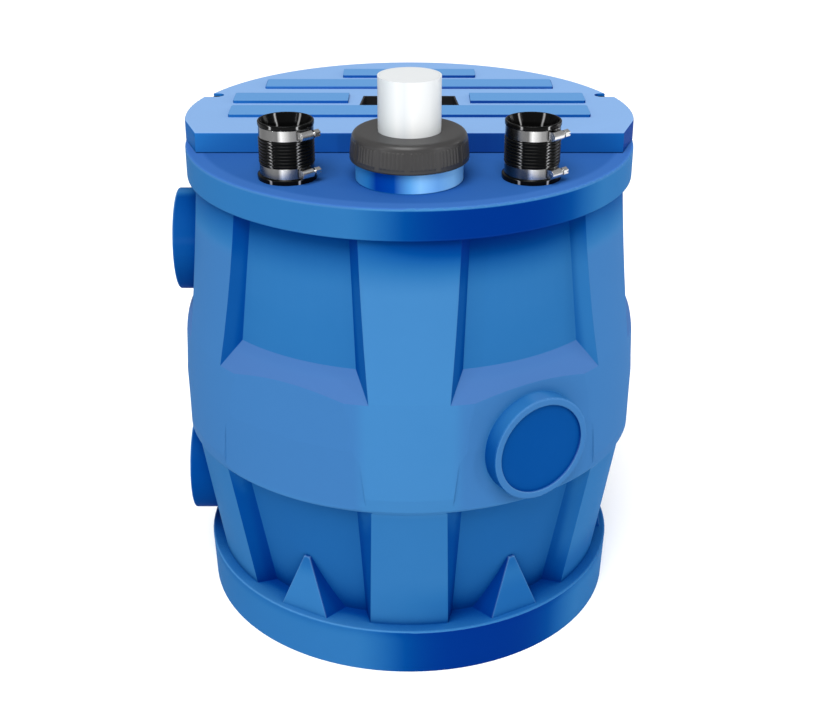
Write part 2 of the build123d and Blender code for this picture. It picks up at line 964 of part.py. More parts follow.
def outlet_plane(distance):
    """Plane across the outlet at a distance along it; local X is up."""
    return Plane(origin=outlet_start + outlet_direction * distance, x_dir=(0, 0, 1), z_dir=outlet_direction)


def bolt_places():
    """Centres of the casing screws, seen from above the pump's axis."""
    return PolarLocations(casing_screw_circle, casing_screw_count, start_angle=15)


with BuildPart() as suction_foot:
    with BuildSketch(level(casing_bottom - foot_ring, pump_centre)):
        Circle(foot_ring_radius)
        Circle(suction_radius, mode=Mode.SUBTRACT)
    extrude(amount=foot_ring)
    with BuildSketch(level(floor, pump_centre)):
        with PolarLocations(foot_leg_circle, foot_leg_count, start_angle=90):
            Circle(foot_leg_radius)
    extrude(amount=foot_height - foot_ring / 2)
finish(suction_foot, "suction_foot")

with BuildPart() as pump_casing:
    with BuildSketch(level(casing_bottom, pump_centre)):
        Circle(casing_radius)
    extrude(amount=casing_height)
    with BuildSketch(outlet_plane(0)):
        Circle(outlet_radius)
    extrude(amount=outlet_reach)
    with BuildSketch(outlet_plane(outlet_reach)):
        Circle(outlet_flange_radius)
    extrude(amount=-outlet_flange)
    with BuildSketch(level(casing_bottom + casing_plate, pump_centre)):
        Circle(casing_chamber_radius)
    extrude(amount=casing_height, mode=Mode.SUBTRACT)
    with BuildSketch(level(casing_bottom, pump_centre)):
        Circle(suction_radius)
    extrude(amount=casing_plate, mode=Mode.SUBTRACT)
    with BuildSketch(outlet_plane(0)):
        Circle(riser_bore)
    extrude(amount=outlet_reach, mode=Mode.SUBTRACT)
    with BuildSketch(level(casing_top, pump_centre)):
        with bolt_places():
            Circle(bolt_hole)
    extrude(amount=oil_plate + motor_flange - casing_screw_length, mode=Mode.SUBTRACT)
    with BuildSketch(outlet_plane(outlet_reach)):
        with PolarLocations(outlet_bolt_circle, outlet_bolt_count, start_angle=45):
            Circle(outlet_bolt_radius + bolt_play)
    extrude(amount=-outlet_flange, mode=Mode.SUBTRACT)
finish(pump_casing, "pump_casing")

seal_pocket = seal_ring_radius + seat_clearance
bearing_seat = lower_bearing_radius + press_play
boss_top = motor_bottom + oil_boss_height

with BuildPart() as oil_chamber_plate:
    revolve(
        section([
            (seal_pocket, casing_top),
            (casing_radius, casing_top),
            (casing_radius, motor_bottom),
            (oil_boss_radius, motor_bottom),
            (oil_boss_radius, boss_top),
            (bearing_seat, boss_top),
            (bearing_seat, boss_top - bearing_height),
            (shaft_radius + 1, boss_top - bearing_height),
            (shaft_radius + 1, casing_top + seal_ring_height),
            (seal_pocket, casing_top + seal_ring_height),
        ], pump_centre),
        axis=pump_axis,
    )
    with BuildSketch(level(casing_top, pump_centre)):
        with bolt_places():
            Circle(bolt_hole)
    extrude(amount=oil_plate, mode=Mode.SUBTRACT)
finish(oil_chamber_plate, "oil_chamber_plate")

motor_bore = motor_radius - motor_wall

with BuildPart() as motor_casing:
    with BuildSketch(level(motor_bottom, pump_centre)):
        Circle(motor_radius)
        with PolarLocations(motor_radius, motor_fin_count):
            Rectangle(2 * motor_fin_depth, motor_fin_width)
        Circle(motor_bore, mode=Mode.SUBTRACT)
    extrude(amount=motor_height)
    with BuildSketch(level(motor_bottom, pump_centre)):
        Circle(casing_radius)
        Circle(motor_bore, mode=Mode.SUBTRACT)
        with bolt_places():
            Circle(bolt_hole, mode=Mode.SUBTRACT)
    extrude(amount=motor_flange)
    with BuildSketch(level(motor_top - 2 * bracket_height, pump_centre)):
        Circle(motor_radius + 2 * motor_fin_depth)
        Circle(motor_radius, mode=Mode.SUBTRACT)
    extrude(amount=2 * bracket_height, mode=Mode.SUBTRACT)
finish(motor_casing, "motor_casing")

with BuildPart() as casing_screws:
    head_seat = motor_bottom + motor_flange
    with BuildSketch(level(head_seat, pump_centre)):
        with bolt_places():
            RegularPolygon(casing_screw_head_radius, 6)
    extrude(amount=casing_screw_head)
    with BuildSketch(level(head_seat, pump_centre)):
        with bolt_places():
            Circle(casing_screw_radius)
    extrude(amount=-casing_screw_length + bolt_play)
finish(casing_screws, "casing_screws")

shaft_top = motor_top + cover_height - bolt_play
upper_pocket = upper_bearing_radius + press_play
pocket_floor = motor_top + bearing_height / 2

with BuildPart() as motor_cover:
    revolve(
        section([
            (upper_pocket, pocket_floor - bearing_height),
            (upper_pocket + motor_wall, pocket_floor - bearing_height),
            (upper_pocket + motor_wall, motor_top - cover_spigot),
            (motor_bore - seat_clearance, motor_top - cover_spigot),
            (motor_bore - seat_clearance, motor_top),
            (cover_radius, motor_top),
            (cover_radius, motor_top + cover_height),
            (cover_dome_radius, motor_top + cover_height + cover_dome),
            (0, motor_top + cover_height + cover_dome),
            (0, motor_top + cover_height),
            (upper_pocket / 2 + shaft_radius / 2, motor_top + cover_height),
            (upper_pocket / 2 + shaft_radius / 2, pocket_floor),
            (upper_pocket, pocket_floor),
        ], pump_centre),
        axis=pump_axis,
    )
    with BuildSketch(level(motor_top + cover_height + cover_dome, pump_centre)):
        with Locations((0, -gland_offset)):
            Circle(gland_cap_radius - 2)
    extrude(amount=-cover_dome / 2, mode=Mode.SUBTRACT)
finish(motor_cover, "motor_cover")

cover_top = motor_top + cover_height + cover_dome

with BuildPart() as pump_handle:
    with BuildLine() as bail:
        half = handle_span / 2
        FilletPolyline(
            (pump_centre[0] - half, pump_centre[1], cover_top),
            (pump_centre[0] - half, pump_centre[1], cover_top + handle_rise),
            (pump_centre[0] + half, pump_centre[1], cover_top + handle_rise),
            (pump_centre[0] + half, pump_centre[1], cover_top),
            radius=handle_bend,
        )
    with BuildSketch(level(cover_top, (pump_centre[0] - half, pump_centre[1]))):
        Circle(handle_rod)
    sweep()
finish(pump_handle, "pump_handle")

with BuildPart() as cable_gland:
    gland_centre = (pump_centre[0], pump_centre[1] - gland_offset)
    with BuildSketch(level(cover_top, gland_centre)):
        RegularPolygon(gland_radius, 6)
    extrude(amount=gland_height)
    with BuildSketch(level(cover_top + gland_height, gland_centre)):
        Circle(gland_cap_radius)
    extrude(amount=gland_cap_height, taper=8)
    with BuildSketch(level(cover_top, gland_centre)):
        Circle(gland_cap_radius - 2 - seat_clearance)
    extrude(amount=-cover_dome / 2)
finish(cable_gland, "cable_gland")

rotor_bottom = motor_bottom + rotor_rise
stator_bore = rotor_radius + air_gap

with BuildPart() as stator:
    with BuildSketch(level(rotor_bottom - stator_overhang, pump_centre)):
        Circle(motor_bore - press_play)
        Circle(stator_bore, mode=Mode.SUBTRACT)
    extrude(amount=rotor_length + 2 * stator_overhang)
    with BuildSketch(level(rotor_bottom - 3 * stator_overhang, pump_centre)):
        Circle(motor_bore - 2 * stator_overhang)
        Circle(stator_bore + stator_overhang, mode=Mode.SUBTRACT)
    extrude(amount=rotor_length + 6 * stator_overhang)
finish(stator, "stator")


def bearing(bottom, radius):
    """Ball bearing as one closed ring with a groove between its races."""
    bore = shaft_radius + shaft_play
    middle = (bore + radius) / 2
    return section([
        (bore, bottom),
        (middle - 2, bottom),
        (middle - 2, bottom + 1),
        (middle + 2, bottom + 1),
        (middle + 2, bottom),
        (radius, bottom),
        (radius, bottom + bearing_height),
        (bore, bottom + bearing_height),
    ], pump_centre)


with BuildPart() as lower_bearing:
    revolve(bearing(boss_top - bearing_height, lower_bearing_radius), axis=pump_axis)
finish(lower_bearing, "lower_bearing")

with BuildPart() as upper_bearing:
    revolve(bearing(pocket_floor - bearing_height, upper_bearing_radius), axis=pump_axis)
finish(upper_bearing, "upper_bearing")

with BuildPart() as shaft_seal:
    with BuildSketch(level(casing_top, pump_centre)):
        Circle(seal_ring_radius)
        Circle(shaft_radius + shaft_play, mode=Mode.SUBTRACT)
    extrude(amount=seal_ring_height)
finish(shaft_seal, "shaft_seal")


# Pump: what turns

impeller_top = casing_top - impeller_gap
impeller_bottom = impeller_top - impeller_plate - impeller_blade
hub_bore = shaft_radius + press_play

with BuildPart() as pump_shaft:
    with BuildSketch(level(impeller_bottom - impeller_nut_height, pump_centre)):
        Circle(shaft_radius)
    extrude(amount=shaft_top - impeller_bottom + impeller_nut_height)
finish(pump_shaft, "pump_shaft")

with BuildPart() as rotor:
    with BuildSketch(level(rotor_bottom, pump_centre)):
        Circle(rotor_radius)
        Circle(hub_bore, mode=Mode.SUBTRACT)
    extrude(amount=rotor_length)
finish(rotor, "rotor")

with BuildPart() as impeller:
    with BuildSketch(level(impeller_bottom, pump_centre)):
        blade_middle = (impeller_radius - 2 + shaft_radius) / 2
        with PolarLocations(blade_middle, impeller_blade_count):
            Rectangle(impeller_radius - 2 - shaft_radius, impeller_blade_width)
        Circle(impeller_hub_radius)
    extrude(amount=impeller_blade)
    with BuildSketch(level(impeller_top, pump_centre)):
        Circle(impeller_radius)
    extrude(amount=-impeller_plate)
    with BuildSketch(level(impeller_bottom, pump_centre)):
        Circle(hub_bore)
    extrude(amount=impeller_top - impeller_bottom, mode=Mode.SUBTRACT)
finish(impeller, "impeller")

with BuildPart() as impeller_nut:
    with BuildSketch(level(impeller_bottom, pump_centre)):
        RegularPolygon(impeller_nut_radius + shaft_radius / 2, 6)
        Circle(hub_bore, mode=Mode.SUBTRACT)
    extrude(amount=-impeller_nut_height)
finish(impeller_nut, "impeller_nut")


# Level control

rod_top = motor_top - 2 * bracket_height + bracket_height + head_height
stop_low = floor + float_rod_bottom
float_bottom = stop_low + float_stop_height + float_rest_gap
stop_high = float_bottom + float_height + float_travel + float_rest_gap
bracket_bottom = motor_top - 2 * bracket_height
float_axis = upright_axis(float_centre)

with BuildPart() as float_bracket:
    ring_outer = motor_radius + seat_clearance + bracket_wall
    with BuildSketch(level(bracket_bottom, pump_centre)) as clip:
        Circle(ring_outer)
        with PolarLocations(float_arm / 2, 1, start_angle=float_heading):
            Rectangle(float_arm, bracket_arm_width)
        with PolarLocations(float_arm, 1, start_angle=float_heading):
            Circle(head_radius)
            Circle(float_rod_radius + press_play, mode=Mode.SUBTRACT)
        Circle(motor_radius + seat_clearance, mode=Mode.SUBTRACT)
    extrude(amount=bracket_height)
finish(float_bracket, "float_bracket")

with BuildPart() as float_rod:
    with BuildSketch(level(stop_low - float_stop_height, float_centre)):
        Circle(float_rod_radius)
    extrude(amount=bracket_bottom + bracket_height + head_height / 2 - stop_low + float_stop_height)
finish(float_rod, "float_rod")

with BuildPart() as float_stops:
    for bottom in (stop_low, stop_high):
        with BuildSketch(level(bottom, float_centre)):
            Circle(float_stop_radius)
            Circle(float_rod_radius + press_play, mode=Mode.SUBTRACT)
        extrude(amount=float_stop_height)
finish(float_stops, "float_stops")

with BuildPart() as switch_float:
    with BuildSketch(level(float_bottom, float_centre)):
        Circle(float_radius)
    extrude(amount=float_height)
    fillet(switch_float.edges().filter_by(GeomType.CIRCLE), float_rounding)
    with BuildSketch(level(float_bottom, float_centre)):
        Circle(float_rod_radius + float_rod_play)
    extrude(amount=float_height, mode=Mode.SUBTRACT)
finish(switch_float, "switch_float")

with BuildPart() as switch_head:
    with BuildSketch(level(bracket_bottom + bracket_height, float_centre)):
        Circle(head_radius)
    extrude(amount=head_height)
    fillet(switch_head.faces().sort_by(Axis.Z)[-1].edges(), 3)
    with BuildSketch(level(bracket_bottom + bracket_height, float_centre)):
        Circle(float_rod_radius + press_play)
    extrude(amount=head_height / 2, mode=Mode.SUBTRACT)
finish(switch_head, "switch_head")


# Discharge line

riser_axis = upright_axis(riser_centre)
socket_radius = riser_radius + press_play
lower_riser_bottom = elbow_top - elbow_socket


def elbow_run(radius):
    """Round bar from the pump's outlet along the level run, round the bend and up into the socket."""
    turn = outlet_start + outlet_direction * pump_outlet_run
    with BuildPart() as bar:
        with BuildLine():
            FilletPolyline(
                outlet_start + outlet_direction * outlet_reach,
                turn,
                Vector(turn.X, turn.Y, elbow_top),
                radius=elbow_bend,
            )
        with BuildSketch(outlet_plane(outlet_reach)):
            Circle(radius)
        sweep()
    return bar.part


with BuildPart() as outlet_elbow:
    add(elbow_run(outlet_radius))
    with BuildSketch(outlet_plane(outlet_reach)):
        Circle(outlet_flange_radius)
    extrude(amount=outlet_flange)
    add(elbow_run(riser_bore), mode=Mode.SUBTRACT)
    with BuildSketch(level(lower_riser_bottom, riser_centre)):
        Circle(socket_radius)
    extrude(amount=elbow_socket, mode=Mode.SUBTRACT)
    with BuildSketch(outlet_plane(outlet_reach)):
        with PolarLocations(outlet_bolt_circle, outlet_bolt_count, start_angle=45):
            Circle(outlet_bolt_radius + bolt_play)
    extrude(amount=outlet_flange, mode=Mode.SUBTRACT)
finish(outlet_elbow, "outlet_elbow")

with BuildPart() as outlet_bolts:
    spots = PolarLocations(outlet_bolt_circle, outlet_bolt_count, start_angle=45)
    with BuildSketch(outlet_plane(outlet_reach - outlet_flange)):
        with spots:
            Circle(outlet_bolt_radius)
    extrude(amount=2 * outlet_flange)
    for start, turn_out in ((outlet_reach + outlet_flange, 1), (outlet_reach - outlet_flange, -1)):
        with BuildSketch(outlet_plane(start)):
            with spots:
                RegularPolygon(2 * outlet_bolt_radius, 6)
        extrude(amount=turn_out * outlet_bolt_radius * 1.5)
finish(outlet_bolts, "outlet_bolts")

with BuildPart() as lower_riser:
    revolve(
        section([
            (riser_bore, lower_riser_bottom),
            (riser_radius, lower_riser_bottom),
            (riser_radius, lower_riser_top - union_collar),
            (union_collar_radius, lower_riser_top - union_collar),
            (union_collar_radius, lower_riser_top),
            (riser_bore, lower_riser_top),
        ], riser_centre),
        axis=riser_axis,
    )
finish(lower_riser, "lower_riser")

union_bottom = lower_riser_top - union_collar - union_lip - press_play

with BuildPart() as union_nut:
    with BuildSketch(level(union_bottom, riser_centre)):
        RegularPolygon(union_radius, 8)
        Circle(riser_radius + riser_clearance, mode=Mode.SUBTRACT)
    extrude(amount=union_lip)
    with BuildSketch(level(union_bottom + union_lip, riser_centre)):
        RegularPolygon(union_radius, 8)
        Circle(union_thread_radius + press_play, mode=Mode.SUBTRACT)
    extrude(amount=union_height - union_lip)
finish(union_nut, "union_nut")

check_bottom = lower_riser_top
check_top = check_bottom + check_height
seat_height = check_bottom + check_seat
chamber_bottom = seat_height + 5
chamber_top = chamber_bottom + check_chamber_height
ball_centre = seat_height + sqrt(check_ball_radius ** 2 - riser_bore ** 2) + check_gap
chamber_outer = check_chamber_radius + check_chamber_wall
port_height = (chamber_bottom + chamber_top) / 2
valve_bottom = check_top
valve_top = valve_bottom + valve_height
valve_middle = valve_bottom + valve_height / 2
inward = -outlet_direction


def riser_plane(distance, height):
    """Plane that looks back at the pump from the riser; local X is up."""
    origin = Vector(riser_centre[0], riser_centre[1], height) + inward * distance
    return Plane(origin=origin, x_dir=(0, 0, 1), z_dir=inward)


with BuildPart() as check_valve_body:
    revolve(
        section([
            (0, check_bottom),
            (union_thread_radius, check_bottom),
            (union_thread_radius, seat_height - union_lip),
            (chamber_outer, chamber_bottom - 2),
            (chamber_outer, chamber_top),
            (union_thread_radius, chamber_top + check_neck),
            (union_thread_radius, check_top),
            (0, check_top),
        ], riser_centre),
        axis=riser_axis,
    )
    with BuildSketch(riser_plane(0, port_height)):
        Circle(check_port_radius + check_port_wall)
    extrude(amount=check_port_reach)
    revolve(
        section([
            (0, check_bottom),
            (riser_bore, check_bottom),
            (riser_bore, seat_height),
            (check_chamber_radius, chamber_bottom),
            (check_chamber_radius, chamber_top),
            (riser_bore, chamber_top + check_neck),
            (riser_bore, check_top),
            (0, check_top),
        ], riser_centre),
        axis=riser_axis,
        mode=Mode.SUBTRACT,
    )
    with BuildSketch(riser_plane(0, port_height)):
        Circle(check_port_radius)
    extrude(amount=check_port_reach, mode=Mode.SUBTRACT)
    rib_bottom = ball_centre + check_ball_radius + check_lift + 2
    with BuildSketch(level(rib_bottom, riser_centre)):
        with PolarLocations(check_chamber_radius - 6, check_rib_count, start_angle=riser_heading):
            Rectangle(14, check_rib)
    extrude(amount=chamber_top - rib_bottom + 4)
finish(check_valve_body, "check_valve_body")

with BuildPart() as check_ball:
    with Locations((*riser_centre, ball_centre)):
        Sphere(check_ball_radius)
finish(check_ball, "check_ball")

with BuildPart() as check_valve_cap:
    with BuildSketch(riser_plane(check_port_reach, port_height)):
        Circle(check_cap_radius)
    extrude(amount=check_cap_height)
    with BuildSketch(riser_plane(check_port_reach + check_cap_height, port_height)):
        RegularPolygon(check_cap_hex, 6)
    extrude(amount=check_cap_hex_height)
    with BuildSketch(riser_plane(check_port_reach, port_height)):
        Circle(check_port_radius - seat_clearance)
        Circle(check_port_radius - check_port_wall, mode=Mode.SUBTRACT)
    extrude(amount=-(check_port_reach - check_chamber_radius - 4))
finish(check_valve_cap, "check_valve_cap")

ball_room = valve_ball_radius + valve_ball_gap
valve_end_bottom = valve_top - valve_end_height

with BuildPart() as stop_valve_body:
    with BuildSketch(level(valve_bottom, riser_centre)):
        RegularPolygon(valve_radius, 8, major_radius=True)
    extrude(amount=valve_height)
    with BuildSketch(riser_plane(0, valve_middle)):
        Circle(gland_boss_radius)
    extrude(amount=stem_reach - 6)
    revolve(
        section([
            (0, valve_bottom),
            (riser_bore, valve_bottom),
            (riser_bore, valve_middle - ball_room * 0.75),
            (ball_room, valve_middle - ball_room * 0.75 + 3),
            (ball_room, valve_top),
            (0, valve_top),
        ], riser_centre),
        axis=riser_axis,
        mode=Mode.SUBTRACT,
    )
    with BuildSketch(riser_plane(0, valve_middle)):
        Circle(stem_radius + stem_play)
    extrude(amount=stem_reach, mode=Mode.SUBTRACT)
finish(stop_valve_body, "stop_valve_body")

with BuildPart() as stop_valve_end:
    with BuildSketch(level(valve_end_bottom, riser_centre)):
        Circle(ball_room - seat_clearance)
        Circle(riser_bore, mode=Mode.SUBTRACT)
    extrude(amount=valve_end_height + 8)
    with BuildSketch(level(valve_top, riser_centre)):
        RegularPolygon(valve_radius - 6, 6)
        Circle(riser_bore, mode=Mode.SUBTRACT)
    extrude(amount=elbow_socket)
    with BuildSketch(level(valve_top, riser_centre)):
        Circle(socket_radius)
    extrude(amount=elbow_socket, mode=Mode.SUBTRACT)
    with Locations((*riser_centre, valve_middle)):
        Sphere(ball_room, mode=Mode.SUBTRACT)
finish(stop_valve_end, "stop_valve_end")

with BuildPart() as valve_ball:
    with Locations((*riser_centre, valve_middle)):
        Sphere(valve_ball_radius)
    with BuildSketch(level(valve_middle - valve_ball_radius, riser_centre)):
        Circle(riser_bore)
    extrude(amount=2 * valve_ball_radius, mode=Mode.SUBTRACT)
finish(valve_ball, "valve_ball")

with BuildPart() as valve_lever:
    stem_start = valve_ball_radius + press_play
    with BuildSketch(riser_plane(stem_start, valve_middle)):
        Circle(stem_radius)
    extrude(amount=stem_reach + lever_thickness - stem_start)
    with BuildSketch(riser_plane(stem_reach, valve_middle)):
        with Locations((lever_length / 2 - lever_width / 2, 0)):
            RectangleRounded(lever_length, lever_width, lever_width / 2 - 0.5)
    extrude(amount=lever_thickness)
finish(valve_lever, "valve_lever")

with BuildPart() as upper_riser:
    with BuildSketch(level(valve_top, riser_centre)):
        Circle(riser_radius)
        Circle(riser_bore, mode=Mode.SUBTRACT)
    extrude(amount=deck_height + spigot_height - valve_top)
finish(upper_riser, "upper_riser")

with BuildPart() as vent_tail_pipe:
    with BuildSketch(level(deck_under - tail_pipe_drop, left_coupling)):
        Circle(riser_radius)
        Circle(riser_bore, mode=Mode.SUBTRACT)
    extrude(amount=deck_thickness + tail_pipe_drop + spigot_height)
finish(vent_tail_pipe, "vent_tail_pipe")
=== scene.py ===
import json
import math
from collections import namedtuple

import bpy
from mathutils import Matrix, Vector


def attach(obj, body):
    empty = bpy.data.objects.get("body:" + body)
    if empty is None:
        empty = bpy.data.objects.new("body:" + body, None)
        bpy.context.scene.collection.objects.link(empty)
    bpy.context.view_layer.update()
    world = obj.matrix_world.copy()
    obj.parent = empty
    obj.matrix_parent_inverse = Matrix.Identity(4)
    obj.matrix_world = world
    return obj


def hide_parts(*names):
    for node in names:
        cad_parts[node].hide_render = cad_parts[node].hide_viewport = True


# Everything is in metres in the frame of the solids: -Y is the front, Z is up, and the base stands on Z = 0.
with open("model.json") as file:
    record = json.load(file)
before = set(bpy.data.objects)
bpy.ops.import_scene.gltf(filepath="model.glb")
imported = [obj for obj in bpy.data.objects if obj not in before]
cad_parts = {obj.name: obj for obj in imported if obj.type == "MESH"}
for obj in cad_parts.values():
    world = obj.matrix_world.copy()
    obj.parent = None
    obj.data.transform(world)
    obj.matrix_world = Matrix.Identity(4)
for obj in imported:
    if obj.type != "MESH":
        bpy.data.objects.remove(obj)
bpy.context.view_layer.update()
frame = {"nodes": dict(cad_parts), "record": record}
nodes = frame["nodes"]


# Node graphs

def new_material(name):
    """Empty node material with its output and a Principled shader."""
    material = bpy.data.materials.new(name)
    material.use_nodes = True
    tree = material.node_tree
    tree.nodes.clear()
    output = tree.nodes.new("ShaderNodeOutputMaterial")
    shader = tree.nodes.new("ShaderNodeBsdfPrincipled")
    tree.links.new(shader.outputs["BSDF"], output.inputs["Surface"])
    return material, tree, shader


def maths(tree, operation, *values):
    """Math node on numbers or sockets, as one socket."""
    made = tree.nodes.new("ShaderNodeMath")
    made.operation = operation
    for socket, value in zip(made.inputs, values):
        if isinstance(value, (int, float)):
            socket.default_value = value
        else:
            tree.links.new(value, socket)
    return made.outputs["Value"]


def product(tree, first, *others):
    """Numbers or sockets multiplied together."""
    result = first
    for other in others:
        result = maths(tree, "MULTIPLY", result, other)
    return result


def inverse(tree, value):
    """1 less a value."""
    return maths(tree, "SUBTRACT", 1.0, value)


def dot(tree, first, second):
    """Dot product of two flat vectors of numbers or sockets."""
    return maths(tree, "ADD", product(tree, first[0], second[0]), product(tree, first[1], second[1]))


def length(tree, flat):
    """Length of a flat vector."""
    return maths(tree, "SQRT", dot(tree, flat, flat))


def step(tree, value, low, high):
    """Smooth step from 0 at low to 1 at high."""
    made = tree.nodes.new("ShaderNodeMapRange")
    made.interpolation_type = "SMOOTHSTEP"
    made.inputs["From Min"].default_value = low
    made.inputs["From Max"].default_value = high
    tree.links.new(value, made.inputs["Value"])
    return made.outputs["Result"]


def window(tree, value, low, low_full, high_full, high):
    """Smooth step up from low to low_full, and down again from high_full to high."""
    return product(tree, step(tree, value, low, low_full), inverse(tree, step(tree, value, high_full, high)))


def spread(tree, factor, low, high):
    """Maps a noise's factor, mostly 0.3 to 0.7, onto a range."""
    made = tree.nodes.new("ShaderNodeMapRange")
    made.inputs["From Min"].default_value = 0.3
    made.inputs["From Max"].default_value = 0.7
    made.inputs["To Min"].default_value = low
    made.inputs["To Max"].default_value = high
    tree.links.new(factor, made.inputs["Value"])
    return made.outputs["Result"]


def curve(tree, value, points, high_value, high_result):
    """Straight runs through (value, result) points, each counted as a share of its highest."""
    made = tree.nodes.new("ShaderNodeFloatCurve")
    line = made.mapping.curves[0]
    shares = [(x / high_value, y / high_result) for x, y in points]
    line.points[0].location = shares[0]
    line.points[1].location = shares[-1]
    for share in shares[1:-1]:
        line.points.new(*share)
    for point in line.points:
        point.handle_type = "VECTOR"
    made.mapping.update()
    tree.links.new(maths(tree, "DIVIDE", value, high_value), made.inputs["Value"])
    return maths(tree, "MULTIPLY", made.outputs["Value"], high_result)


def mix(tree, factor, first, second):
    """Colour mix; each colour is a socket or three numbers."""
    made = tree.nodes.new("ShaderNodeMix")
    made.data_type = "RGBA"
    tree.links.new(factor, made.inputs["Factor"])
    for socket, colour in ((made.inputs[6], first), (made.inputs[7], second)):
        if isinstance(colour, tuple):
            socket.default_value = (*colour, 1)
        else:
            tree.links.new(colour, socket)
    return made.outputs[2]


def ramp(tree, factor, stops):
    """Colour ramp with (position, colour) stops."""
    made = tree.nodes.new("ShaderNodeValToRGB")
    band = made.color_ramp
    while len(band.elements) < len(stops):
        band.elements.new(0.5)
    for element, (position, colour) in zip(band.elements, stops):
        element.position = position
        element.color = (*colour, 1)
    tree.links.new(factor, made.inputs["Fac"])
    return made.outputs["Color"]


def noise(tree, spot, scale, detail, rough, stretch):
    """Noise in object space; stretch is how much finer the grain is along each axis."""
    mapping = tree.nodes.new("ShaderNodeMapping")
    mapping.inputs["Scale"].default_value = stretch
    tree.links.new(spot, mapping.inputs["Vector"])
    made = tree.nodes.new("ShaderNodeTexNoise")
    made.inputs["Scale"].default_value = scale
    made.inputs["Detail"].default_value = detail
    made.inputs["Roughness"].default_value = rough
    tree.links.new(mapping.outputs["Vector"], made.inputs["Vector"])
    return made.outputs["Fac"]


def split(tree, vector):
    """The three numbers of a vector socket."""
    made = tree.nodes.new("ShaderNodeSeparateXYZ")
    tree.links.new(vector, made.inputs["Vector"])
    return made.outputs


def near(tree, spot, centre, low, high):
    """1 within low of a point, down to 0 at high."""
    gap = tree.nodes.new("ShaderNodeVectorMath")
    gap.operation = "DISTANCE"
    tree.links.new(spot, gap.inputs[0])
    gap.inputs[1].default_value = centre
    return inverse(tree, step(tree, gap.outputs["Value"], low, high))


def shelter(tree, distance, inside=False):
    """0 on open faces, more in corners; inside gives more on outer edges instead."""
    made = tree.nodes.new("ShaderNodeAmbientOcclusion")
    made.samples = 8
    made.inside = inside
    made.only_local = True
    made.inputs["Distance"].default_value = distance
    return inverse(tree, made.outputs["AO"])


def tint(colour, factor):
    """A colour made lighter or darker."""
    return tuple(min(1.0, channel * factor) for channel in colour)


# Painted light and shade by where a face lies and how it faces. Each function below gets a Face and returns a
# colour socket.
# Pairs and fours of numbers are the ends of a smooth step and of a window.

Face = namedtuple("Face", "spot place normal rounded cloud colours")
upright_tilt = (0.3, 0.7)


def from_left(tree, face):
    """0 where a face looks to the left, -X, up to 1 where it looks to the right."""
    return maths(tree, "MULTIPLY_ADD", face.normal["X"], 0.5, 0.5)


def treaded(tree, face, top, raised, bar_foot, front, half_width, corner):
    """Painted light on faces that look up, less on the raised bars; painted shade on front and right faces."""
    facing_up = step(tree, face.normal["Z"], 0.55, 0.95)
    facing_front = step(tree, maths(tree, "MULTIPLY", face.normal["Y"], -1.0), 0.5, 0.9)
    facing_right = step(tree, face.normal["X"], 0.3, 0.6)
    on_bars = step(tree, face.place["Z"], bar_foot, bar_foot + 0.001)
    along = maths(tree, "MULTIPLY_ADD", face.place["X"], 0.5 / half_width, 0.5)
    # Painted shade along the front face, then on faces that look right; painted light on faces that look up
    colours = mix(tree, facing_front, face.colours, ramp(tree, along, front))
    colours = mix(tree, facing_right, colours, corner)
    return mix(tree, facing_up, colours, mix(tree, on_bars, top, raised))


def banded(tree, face, bands, beside=0.0, reach=1.0):
    """Painted highlight, reflection and shade bands on upright round faces, by which way a face looks.

    beside is how far on each side of the middle the round pieces stand, and reach is their radius.
    """
    upright = inverse(tree, step(tree, maths(tree, "ABSOLUTE", face.normal["Z"]), *upright_tilt))
    across = maths(tree, "SUBTRACT", maths(tree, "ABSOLUTE", face.place["X"]), beside)
    ahead = maths(tree, "ADD", face.place["Y"], coupling_ahead)
    close = maths(tree, "LESS_THAN", length(tree, (across, ahead)), reach)
    return mix(tree, product(tree, upright, close), face.colours, ramp(tree, from_left(tree, face), bands))


belly_heights = (0.310, 0.320, 0.440, 0.470)
sill_heights = (0.42, 0.45, 0.60, 0.64)
foot_heights = (0.074, 0.078, 0.11, 0.18)
flank_heights = (0.300, 0.320)
deck_heights = (0.770, 0.775)
neck_heights = (0.7795, 0.781)
sill_tilt = (0.20, 0.40, 0.85, 0.95)
foot_right = (-0.10, 0.14)
lit_wall_right = (0.15, 0.22)
flank_beside = (0.060, 0.085)
recess_depths = (0.010, 0.020)
stub_radii = (0.377, 0.380)
stub_reach = (0.090, 0.092)
neck_reach = (0.086, 0.088)
disc_reach = (0.0705, 0.0715)
darkest_way = (0.34, -0.94)
darkest_spread = (0.82, 1.0)

# How much of its light a face loses
wall_share = 0.68
stub_top_share = 0.28
foot_share = 0.35
sunk_share = 0.35
disc_share = 0.72


def sideways(tree, face, radius):
    """How far a face looks away from straight out, and how far clockwise, seen from above."""
    across = (face.place["X"], face.place["Y"])
    looks = (face.normal["X"], face.normal["Y"])
    outward = maths(tree, "DIVIDE", dot(tree, across, looks), radius)
    aside = step(tree, maths(tree, "SUBTRACT", length(tree, looks), outward), 0.03, 0.30)
    turn = maths(tree, "SUBTRACT", product(tree, across[1], looks[0]), product(tree, across[0], looks[1]))
    return aside, maths(tree, "DIVIDE", turn, radius)


def band_shares(tree, face, radius, upright, bands):
    """Loss of light on bands round the tank; each is a window of heights and its least and most share.

    The most is where the tank looks darkest_way.
    """
    ahead = dot(tree, (face.place["X"], face.place["Y"]), darkest_way)
    darkest = step(tree, maths(tree, "DIVIDE", ahead, radius), *darkest_spread)
    shares = []
    for *heights, least, most in bands:
        weight = maths(tree, "MULTIPLY_ADD", darkest, most - least, least)
        shares.append(product(tree, window(tree, face.place["Z"], *heights), upright, weight))
    return shares


